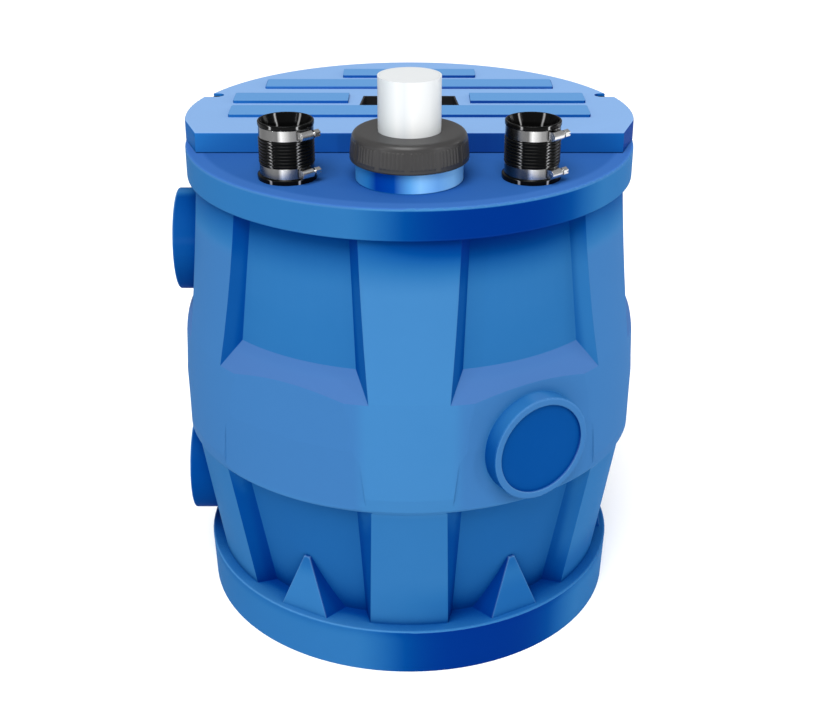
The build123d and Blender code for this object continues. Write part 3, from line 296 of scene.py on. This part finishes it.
def moulded(tree, face, depths, pale, deck, sill, flank, neck, neck_centre, profile, bands, blind_ends):
    """Painted shade in recesses, on their side walls, on bands and blind ends; painted highlight on outer
    edges.

    The shade colours run from the deepest painted shade to fully lit, and the other colours, painted light and
    shade too, lie over them on their zones. profile is the tank's outline.
    """
    place, normal = face.place, face.normal
    height = place["Z"]
    radius = length(tree, (place["X"], place["Y"]))

    # Where the face lies
    on_belly = window(tree, height, *belly_heights)
    on_stub = maths(tree, "MAXIMUM", step(tree, radius, *stub_radii),
                    near(tree, face.spot, blind_ends[0], *stub_reach))
    off_stub = inverse(tree, on_stub)
    outline = curve(tree, height, profile, 0.8, 0.4)
    sunk = step(tree, maths(tree, "SUBTRACT", outline, radius), *recess_depths)
    upright = inverse(tree, step(tree, normal["Z"], *upright_tilt))
    foot = product(tree, window(tree, height, *foot_heights), inverse(tree, sunk),
                   step(tree, place["X"], *foot_right))
    on_sill = product(tree, window(tree, normal["Z"], *sill_tilt), off_stub,
                      window(tree, height, *sill_heights))
    on_deck = product(tree, step(tree, height, *deck_heights), step(tree, normal["Z"], 0.5, 0.9))
    on_neck = product(tree, near(tree, face.spot, neck_centre, *neck_reach),
                      step(tree, height, *neck_heights), upright)
    stub_top = product(tree, on_stub, step(tree, normal["Z"], 0.1, 0.9))

    # Faces that look sideways: the steps beside the belly's pads, and the sides of recesses and stubs
    aside, clockwise = sideways(tree, face, radius)
    belly_step = product(tree, aside, on_belly, off_stub)
    lit_wall = product(tree, step(tree, clockwise, 0.10, 0.30), off_stub,
                       step(tree, place["X"], *lit_wall_right))
    # Painted shade on the side walls of recesses and stubs, less on the lit walls
    side_wall = product(tree, aside, maths(tree, "MAXIMUM", inverse(tree, on_belly), on_stub),
                        maths(tree, "MULTIPLY_ADD", lit_wall, -0.50, 1.0))

    # Light left on the face: painted shade on side walls, the foot, recesses, corners, bands round the tank
    # and blind ends
    shares = [
        product(tree, side_wall,
                maths(tree, "MULTIPLY_ADD", stub_top, stub_top_share - wall_share, wall_share)),
        product(tree, foot, foot_share),
        product(tree, sunk, sunk_share),
        step(tree, shelter(tree, 0.10), 0.10, 0.90),
    ]
    shares += band_shares(tree, face, radius, upright, bands)
    shares += [product(tree, near(tree, face.spot, end, *disc_reach), disc_share) for end in blind_ends]
    light = maths(tree, "MULTIPLY_ADD", face.cloud, 0.10, 0.95)
    for share in shares:
        light = product(tree, light, inverse(tree, share))

    # Painted light and shade colours, from the whole tank to its smallest zones
    # Painted shade on the well-lit sides of the belly, left and right of the middle
    on_flank = product(tree, step(tree, maths(tree, "ABSOLUTE", place["X"]), *flank_beside),
                       step(tree, height, *flank_heights), inverse(tree, sunk), step(tree, light, 0.75, 0.95))
    # Painted highlight on outer edges that look up
    outer_edge = step(tree, shelter(tree, 0.005, inside=True), 0.1, 0.6)
    upper_edge = product(tree, outer_edge, step(tree, split(tree, face.rounded)["Z"], -0.1, 0.5))
    colours = mix(tree, on_flank, ramp(tree, light, depths), flank)
    # Painted shading on the sloping sills
    colours = mix(tree, product(tree, on_sill, 0.8), colours, sill)
    # Painted light on the steps beside the belly's pads, over the shade they would get
    colours = mix(tree, belly_step, colours, tint(flank, 1.35))
    # Painted shade on the deck's top faces, deeper where less light is left
    colours = mix(tree, on_deck, colours, mix(tree, light, depths[1][1], deck))
    # Painted light and shade round the neck, by which way a face looks
    colours = mix(tree, on_neck, colours, ramp(tree, from_left(tree, face), neck))
    # Painted highlight on the upper outer edges
    return mix(tree, product(tree, upper_edge, 0.5), colours, pale)


# Materials

def surface(name, colour, rough, grain, relief, metal=0.0, specular=0.5, edge=0.0003, uneven=0.04,
            stretch=(1, 1, 1), brushed=0.0, over=None, **over_values):
    """Material with a slightly cloudy colour, uneven roughness, a fine grain and softly rounded edges.

    grain is how many grains there are to a metre, relief their height and edge the edges' radius. over is a
    function that lays painted light and shade over the plain colour by where a face lies and how it faces.
    """
    material, tree, shader = new_material(name)
    coords = tree.nodes.new("ShaderNodeTexCoord")
    spot = coords.outputs["Object"]
    cloud = noise(tree, spot, grain * 0.03, 4.0, 0.55, (1, 1, 1))
    fine = noise(tree, spot, grain, 3.0, 0.6, stretch)
    colours = ramp(tree, cloud, [(0.30, tint(colour, 1 - uneven)), (0.70, tint(colour, 1 + uneven))])

    rounding = tree.nodes.new("ShaderNodeBevel")
    rounding.samples = 6
    rounding.inputs["Radius"].default_value = edge
    rounded = rounding.outputs["Normal"]
    if relief:
        bump = tree.nodes.new("ShaderNodeBump")
        bump.inputs["Strength"].default_value = 0.25
        bump.inputs["Distance"].default_value = relief
        tree.links.new(fine, bump.inputs["Height"])
        tree.links.new(rounded, bump.inputs["Normal"])
        tree.links.new(bump.outputs["Normal"], shader.inputs["Normal"])
    else:
        tree.links.new(rounded, shader.inputs["Normal"])

    if over:
        face = Face(spot, split(tree, spot), split(tree, coords.outputs["Normal"]), rounded, cloud, colours)
        colours = over(tree, face, **over_values)
    tree.links.new(colours, shader.inputs["Base Color"])
    tree.links.new(spread(tree, fine, rough - 0.04, rough + 0.04), shader.inputs["Roughness"])
    shader.inputs["Metallic"].default_value = metal
    shader.inputs["Specular IOR Level"].default_value = specular
    if brushed:
        upwards = tree.nodes.new("ShaderNodeCombineXYZ")
        upwards.inputs["Z"].default_value = 1
        tree.links.new(upwards.outputs["Vector"], shader.inputs["Tangent"])
        shader.inputs["Anisotropic"].default_value = brushed
    return material


def greys(*stops):
    """Ramp stops from (position, brightness) pairs."""
    return [(position, (level, level, level)) for position, level in stops]


deck_top = 0.779
rim_bottom = 0.732
coupling_beside = 0.175
coupling_ahead = 0.211
tank_profile = [(0.0, 0.3455), (0.0795, 0.330), (0.305, 0.366), (0.335, 0.3755), (0.412, 0.374),
                (0.490, 0.369), (0.612, 0.353), (0.732, 0.3415), (0.8, 0.3415)]
# Middles of the stubs' blind ends, whose sunk discs get painted shade
tank_ends = [(0.193, -0.3343, 0.402), (-0.369, 0, 0.606), (-0.369, 0, 0.190)]
# Painted shade on bands round the tank: base ring, rim, below the rim, lower body; heights window, least and
# most share
tank_bands = [
    (-0.02, -0.01, 0.0765, 0.0785, 0.30, 0.95),
    (rim_bottom - 0.004, rim_bottom, deck_top - 0.0045, deck_top - 0.0025, 0.30, 0.95),
    (rim_bottom - 0.087, rim_bottom - 0.001, rim_bottom, rim_bottom + 0.001, 0.62, 0.92),
    (0.06, 0.08, 0.295, 0.315, 0.25, 0.25),
]
# Painted shade: tank colours from the deepest shade to fully lit
tank_depths = [(0.0, (0.0, 0.018, 0.180)), (0.25, (0.0005, 0.050, 0.230)), (0.40, (0.007, 0.083, 0.278)),
               (0.65, (0.019, 0.124, 0.325)), (1.0, (0.040, 0.168, 0.382))]
# Painted light and shade round the neck: a dark band left of the middle, highlights to the right
neck_bands = [(0.0, (0.060, 0.290, 0.640)), (0.12, (0.020, 0.180, 0.480)), (0.20, (0.0, 0.040, 0.320)),
              (0.36, (0.0, 0.060, 0.360)), (0.50, (0.110, 0.380, 0.760)), (0.60, (0.270, 0.600, 0.980)),
              (0.76, (0.180, 0.460, 0.880)), (0.90, (0.280, 0.620, 0.980)), (1.0, (0.150, 0.400, 0.760))]
# Painted shade along the lid's front face, from left to right
lid_front = [(0.0, (0.016, 0.145, 0.425)), (0.32, (0.0085, 0.085, 0.355)), (0.66, (0.0055, 0.045, 0.240)),
             (1.0, (0.006, 0.098, 0.345))]
# Painted shade and highlight across the pipe, from its left face to its right
pipe_bands = [(0.0, (0.50, 0.53, 0.55)), (0.16, (0.58, 0.62, 0.64)), (0.30, (0.68, 0.70, 0.71)),
              (0.42, (0.62, 0.65, 0.67)), (0.55, (0.72, 0.73, 0.73)), (0.80, (0.69, 0.71, 0.72)),
              (1.0, (0.56, 0.59, 0.61))]
# Painted highlights on the couplings: two narrow bright stripes
rubber_bands = greys((0.0, 0.003), (0.235, 0.003), (0.262, 0.36), (0.290, 0.003), (0.710, 0.003),
                     (0.735, 0.48), (0.758, 0.003), (1.0, 0.003))
# Painted reflection on the clamp bands: a bright stripe beside the middle, painted shade to the sides
clamp_bands = greys((0.0, 0.06), (0.20, 0.15), (0.38, 0.15), (0.45, 0.80), (0.51, 0.60), (0.62, 0.26),
                    (0.80, 0.13), (1.0, 0.06))

materials = {
    # Tank: painted shade in recesses, on side walls, bands, deck and blind ends; painted light on edges,
    # sills, pad steps, neck
    "tank_blue": surface(
        "tank_blue", (0.040, 0.168, 0.382), 0.50, 320, 0.00006, specular=0.004, edge=0.003, over=moulded,
        depths=tank_depths, pale=(0.16, 0.34, 0.62), deck=(0.037, 0.130, 0.400), sill=(0.052, 0.130, 0.328),
        flank=(0.038, 0.144, 0.350), neck=neck_bands, neck_centre=(0, -0.2146, 0.80), profile=tank_profile,
        bands=tank_bands, blind_ends=tank_ends),
    # Lid: painted light on faces that look up, painted shade on the front and right faces
    "lid_blue": surface(
        "lid_blue", (0.006, 0.098, 0.330), 0.46, 320, 0.00006, specular=0.004, edge=0.0015, over=treaded,
        top=(0.205, 0.355, 0.620), raised=(0.105, 0.262, 0.525), bar_foot=0.8135, front=lid_front,
        half_width=0.36, corner=(0.001, 0.035, 0.210)),
    # Couplings: two painted highlight stripes
    "black_rubber": surface(
        "black_rubber", (0.003, 0.0035, 0.0035), 0.17, 700, 0.00002, specular=0.06, edge=0.0004, over=banded,
        bands=rubber_bands),
    "black_plastic": surface("black_plastic", (0.006, 0.006, 0.007), 0.45, 1200, 0.0001),
    "dark_plastic": surface(
        "dark_plastic", (0.032, 0.031, 0.031), 0.38, 900, 0.00004, specular=0.35, edge=0.001),
    "white_plastic": surface(
        "white_plastic", (0.76, 0.77, 0.77), 0.45, 200, 0, specular=0.2, uneven=0.01),
    # Pipe: painted shade and highlight across it
    "white_pipe": surface(
        "white_pipe", (0.66, 0.68, 0.69), 0.35, 200, 0, specular=0.2, edge=0.0005, uneven=0.01, over=banded,
        bands=pipe_bands),
    "grey_pipe": surface("grey_pipe", (0.17, 0.19, 0.21), 0.35, 400, 0.00005, edge=0.001),
    "orange_plastic": surface("orange_plastic", (0.72, 0.20, 0.03), 0.38, 900, 0.0001, edge=0.001),
    "red_plastic": surface("red_plastic", (0.50, 0.03, 0.02), 0.38, 900, 0.0001, edge=0.001),
    # Clamp bands: a painted reflection stripe and painted shade to the sides
    "stainless": surface(
        "stainless", (0.62, 0.62, 0.62), 0.24, 500, 0, metal=1.0, stretch=(1, 1, 14), brushed=0.6,
        over=banded, bands=clamp_bands, beside=coupling_beside, reach=0.0398),
    "steel": surface("steel", (0.40, 0.40, 0.41), 0.34, 500, 0.00003, metal=1.0),
    "cast_iron": surface("cast_iron", (0.035, 0.055, 0.052), 0.48, 350, 0.0006, edge=0.0015),
    "ceramic_black": surface("ceramic_black", (0.03, 0.03, 0.035), 0.25, 600, 0.00003),
    "brass": surface("brass", (0.66, 0.45, 0.16), 0.30, 600, 0.00003, metal=1.0, edge=0.0005),
}

slots = {entry["node"]: entry["material_slot"] for entry in frame["record"]["subparts"]}
for name, obj in nodes.items():
    finish = materials[slots[name]]
    if not obj.material_slots:
        obj.data.materials.append(finish)
    for slot in obj.material_slots:
        slot.material = finish


# Detailed pieces in place of plain nodes

def turned(name, outline, centre, count, relief=None):
    """Closed outline of (radius, height) points turned about an upright axis; relief adds to its radii."""
    vertices = []
    for column in range(count):
        angle = math.tau * column / count
        for radius, height in outline:
            reach = radius + (relief(angle, height) if relief else 0)
            vertices.append((centre[0] + reach * math.cos(angle), centre[1] + reach * math.sin(angle), height))
    rows = len(outline)
    faces = []
    for column in range(count):
        start = column * rows
        beyond = (column + 1) % count * rows
        for row in range(rows):
            above = (row + 1) % rows
            faces.append((start + row, beyond + row, beyond + above, start + above))
    mesh = bpy.data.meshes.new(name)
    mesh.from_pydata(vertices, [], faces)
    mesh.validate()
    for face in mesh.polygons:
        face.use_smooth = True
    mesh.set_sharp_from_angle(angle=math.radians(40))
    piece = bpy.data.objects.new(name, mesh)
    bpy.context.collection.objects.link(piece)
    return piece


def arc(middle, radius, start, end, count):
    """Points on an arc in an outline, by angles in degrees from outward, upward."""
    turns = [math.radians(start + (end - start) * index / count) for index in range(count + 1)]
    return [(middle[0] + radius * math.cos(turn), middle[1] + radius * math.sin(turn)) for turn in turns]


def dress(piece, slot, body, *replaced):
    """Gives a piece its finish and body, in place of some nodes."""
    piece.data.materials.append(materials[slot])
    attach(piece, body)
    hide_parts(*replaced)


# Rubber couplings: foot, seat of the lower band, ridges, seat of the upper band, lip, flared mouth, stop rib
bore_radius = 0.03155
seat_radius = 0.0384
foot_radius = 0.043
foot_round = 0.0015
lip_radius = 0.0403
lip_round = 0.0015
ridge_count = 8
ridge_radius = 0.0019
ridge_turn = 80
stop_rib = (0.027, 0.8173, 0.8203)
coupling_foot = deck_top + 0.0003
coupling_top = deck_top + 0.085
ridge_bottom = deck_top + 0.0235
ridge_top = coupling_top - 0.023
ridge_pitch = (ridge_top - ridge_bottom) / ridge_count

sleeve = [(bore_radius, coupling_foot), (foot_radius - 0.0005, coupling_foot)]
sleeve += arc((foot_radius - foot_round, deck_top + 0.0058), foot_round, 0, 75, 4)
sleeve += [(seat_radius, deck_top + 0.0078), (seat_radius, ridge_bottom - 0.0003)]
for ridge in range(ridge_count):
    sleeve += arc((seat_radius, ridge_bottom + (ridge + 0.5) * ridge_pitch), ridge_radius,
                  -ridge_turn, ridge_turn, 6)
sleeve += [(seat_radius, ridge_top + 0.0003), (seat_radius, coupling_top - 0.0066)]
sleeve += arc((lip_radius - 0.0011, coupling_top - 0.0055), 0.0011, -80, 0, 3)
sleeve += arc((lip_radius - lip_round, coupling_top - lip_round), lip_round, 0, 90, 4)
sleeve += [(0.0372, coupling_top - 0.0004), (0.0360, coupling_top - 0.0040), (0.0330, coupling_top - 0.0110),
           (bore_radius, coupling_top - 0.0160), (bore_radius, stop_rib[2]), (stop_rib[0], stop_rib[2]),
           (stop_rib[0], stop_rib[1]), (bore_radius, stop_rib[1])]
for side, beside in (("left", -coupling_beside), ("right", coupling_beside)):
    coupling = turned(f"{side}_sleeve", sleeve, (beside, -coupling_ahead), 96)
    dress(coupling, "black_rubber", "station", f"{side}_coupling")

# Ring nut: wall with groups of ribs, rounded shoulder, crown with the pipe's hole, room for the neck inside
nut_centre = (0, -0.2146)
nut_low = 0.8085
nut_high = 0.8500
nut_ceiling = 0.8406
thread_radius = 0.0780
hole_radius = 0.0454
foot_bevel = 0.0030
wall_foot_radius = 0.0850
wall_taper = 0.0027
shoulder_radius = 0.0093
rib_low = 0.8160
rib_high = 0.8395
rib_places = 84
rib_group = 7
rib_height = 0.0007
columns_per_rib = 6


def grip_ribs(angle, height):
    """Groups of fine upright ribs on the nut's wall, with a gap after each group."""
    turn = angle / math.tau * rib_places
    if not rib_low < height < rib_high or int(turn) % rib_group == rib_group - 1:
        return 0
    return rib_height * math.sin(math.pi * (turn % 1)) ** 0.6


wall_shares = (0, 0.03, 0.1, 0.5, 0.9, 0.97, 1)
wall = [(wall_foot_radius - wall_taper * share, rib_low - 0.0004 + (rib_high - rib_low + 0.0008) * share)
        for share in wall_shares]
nut_outline = [(thread_radius, nut_low), (wall_foot_radius - 0.0025, nut_low)]
nut_outline += arc((wall_foot_radius - 0.0025, nut_low + foot_bevel), foot_bevel, -80, 0, 5)
nut_outline += wall
nut_outline += arc((0.0730, 0.8405), shoulder_radius, 6, 84, 12)
nut_outline += [(0.0700, 0.8498), (0.0600, 0.8499), (hole_radius + 0.0008, nut_high),
                (hole_radius, nut_high - 0.0008), (hole_radius, nut_ceiling), (thread_radius, nut_ceiling)]
nut = turned("ribbed_nut", nut_outline, nut_centre, rib_places * columns_per_rib, grip_ribs)
dress(nut, "dark_plastic", "ring_nut", "ring_nut")


# Floor, camera and lights

floor_mesh = bpy.data.meshes.new("floor")
floor_reach = 30.0
corners = [(x * floor_reach, y * floor_reach, 0) for x, y in ((-1, -1), (1, -1), (1, 1), (-1, 1))]
floor_mesh.from_pydata(corners, [], [(0, 1, 2, 3)])
floor = bpy.data.objects.new("floor", floor_mesh)
bpy.context.collection.objects.link(floor)
floor_paint, floor_tree, floor_shader = new_material("floor_paint")
floor_shader.inputs["Base Color"].default_value = (0.90, 0.90, 0.90, 1)
floor_shader.inputs["Roughness"].default_value = 0.8
floor_shader.inputs["Specular IOR Level"].default_value = 0.0
floor_shader.inputs["Emission Color"].default_value = (1, 1, 1, 1)
floor_shader.inputs["Emission Strength"].default_value = 0.12
floor_mesh.materials.append(floor_paint)

camera_data = bpy.data.cameras.new("camera")
camera = bpy.data.objects.new("camera", camera_data)
bpy.context.collection.objects.link(camera)
camera.location = (-0.0028, -2.0899, 1.394)
camera.rotation_euler = (math.radians(64.62), 0, 0)
camera_data.sensor_width = 36.0
camera_data.lens = 60.27
bpy.context.scene.camera = camera

lamps_aim = (0, 0, 0.45)


def area_light(name, place, size, power):
    """Rectangular lamp at a place, turned to the middle of the tank."""
    data = bpy.data.lights.new(name, "AREA")
    data.shape = "RECTANGLE"
    data.size, data.size_y = size
    data.energy = power
    lamp = bpy.data.objects.new(name, data)
    bpy.context.collection.objects.link(lamp)
    lamp.location = place
    lamp.rotation_euler = (Vector(lamps_aim) - Vector(place)).to_track_quat("-Z", "Y").to_euler()


area_light("left_strip", (-2.1, -1.9, 1.5), (0.03, 1.4), 12)
area_light("right_strip", (2.3, -1.6, 1.5), (0.03, 1.4), 12)
area_light("right_rim", (2.8, 0.9, 1.0), (1.0, 1.6), 28)

sun_data = bpy.data.lights.new("key", "SUN")
sun_data.energy = 3.3
sun_data.angle = math.radians(40)
sun = bpy.data.objects.new("key", sun_data)
bpy.context.collection.objects.link(sun)
sun.rotation_euler = Vector((0.12, 0.52, -0.85)).to_track_quat("-Z", "Y").to_euler()

world = bpy.data.worlds.new("studio")
world.use_nodes = True
backdrop = world.node_tree.nodes["Background"]
backdrop.inputs["Color"].default_value = (1, 1, 1, 1)
backdrop.inputs["Strength"].default_value = 0.38
bpy.context.scene.world = world
bpy.context.scene.view_settings.view_transform = "Standard"
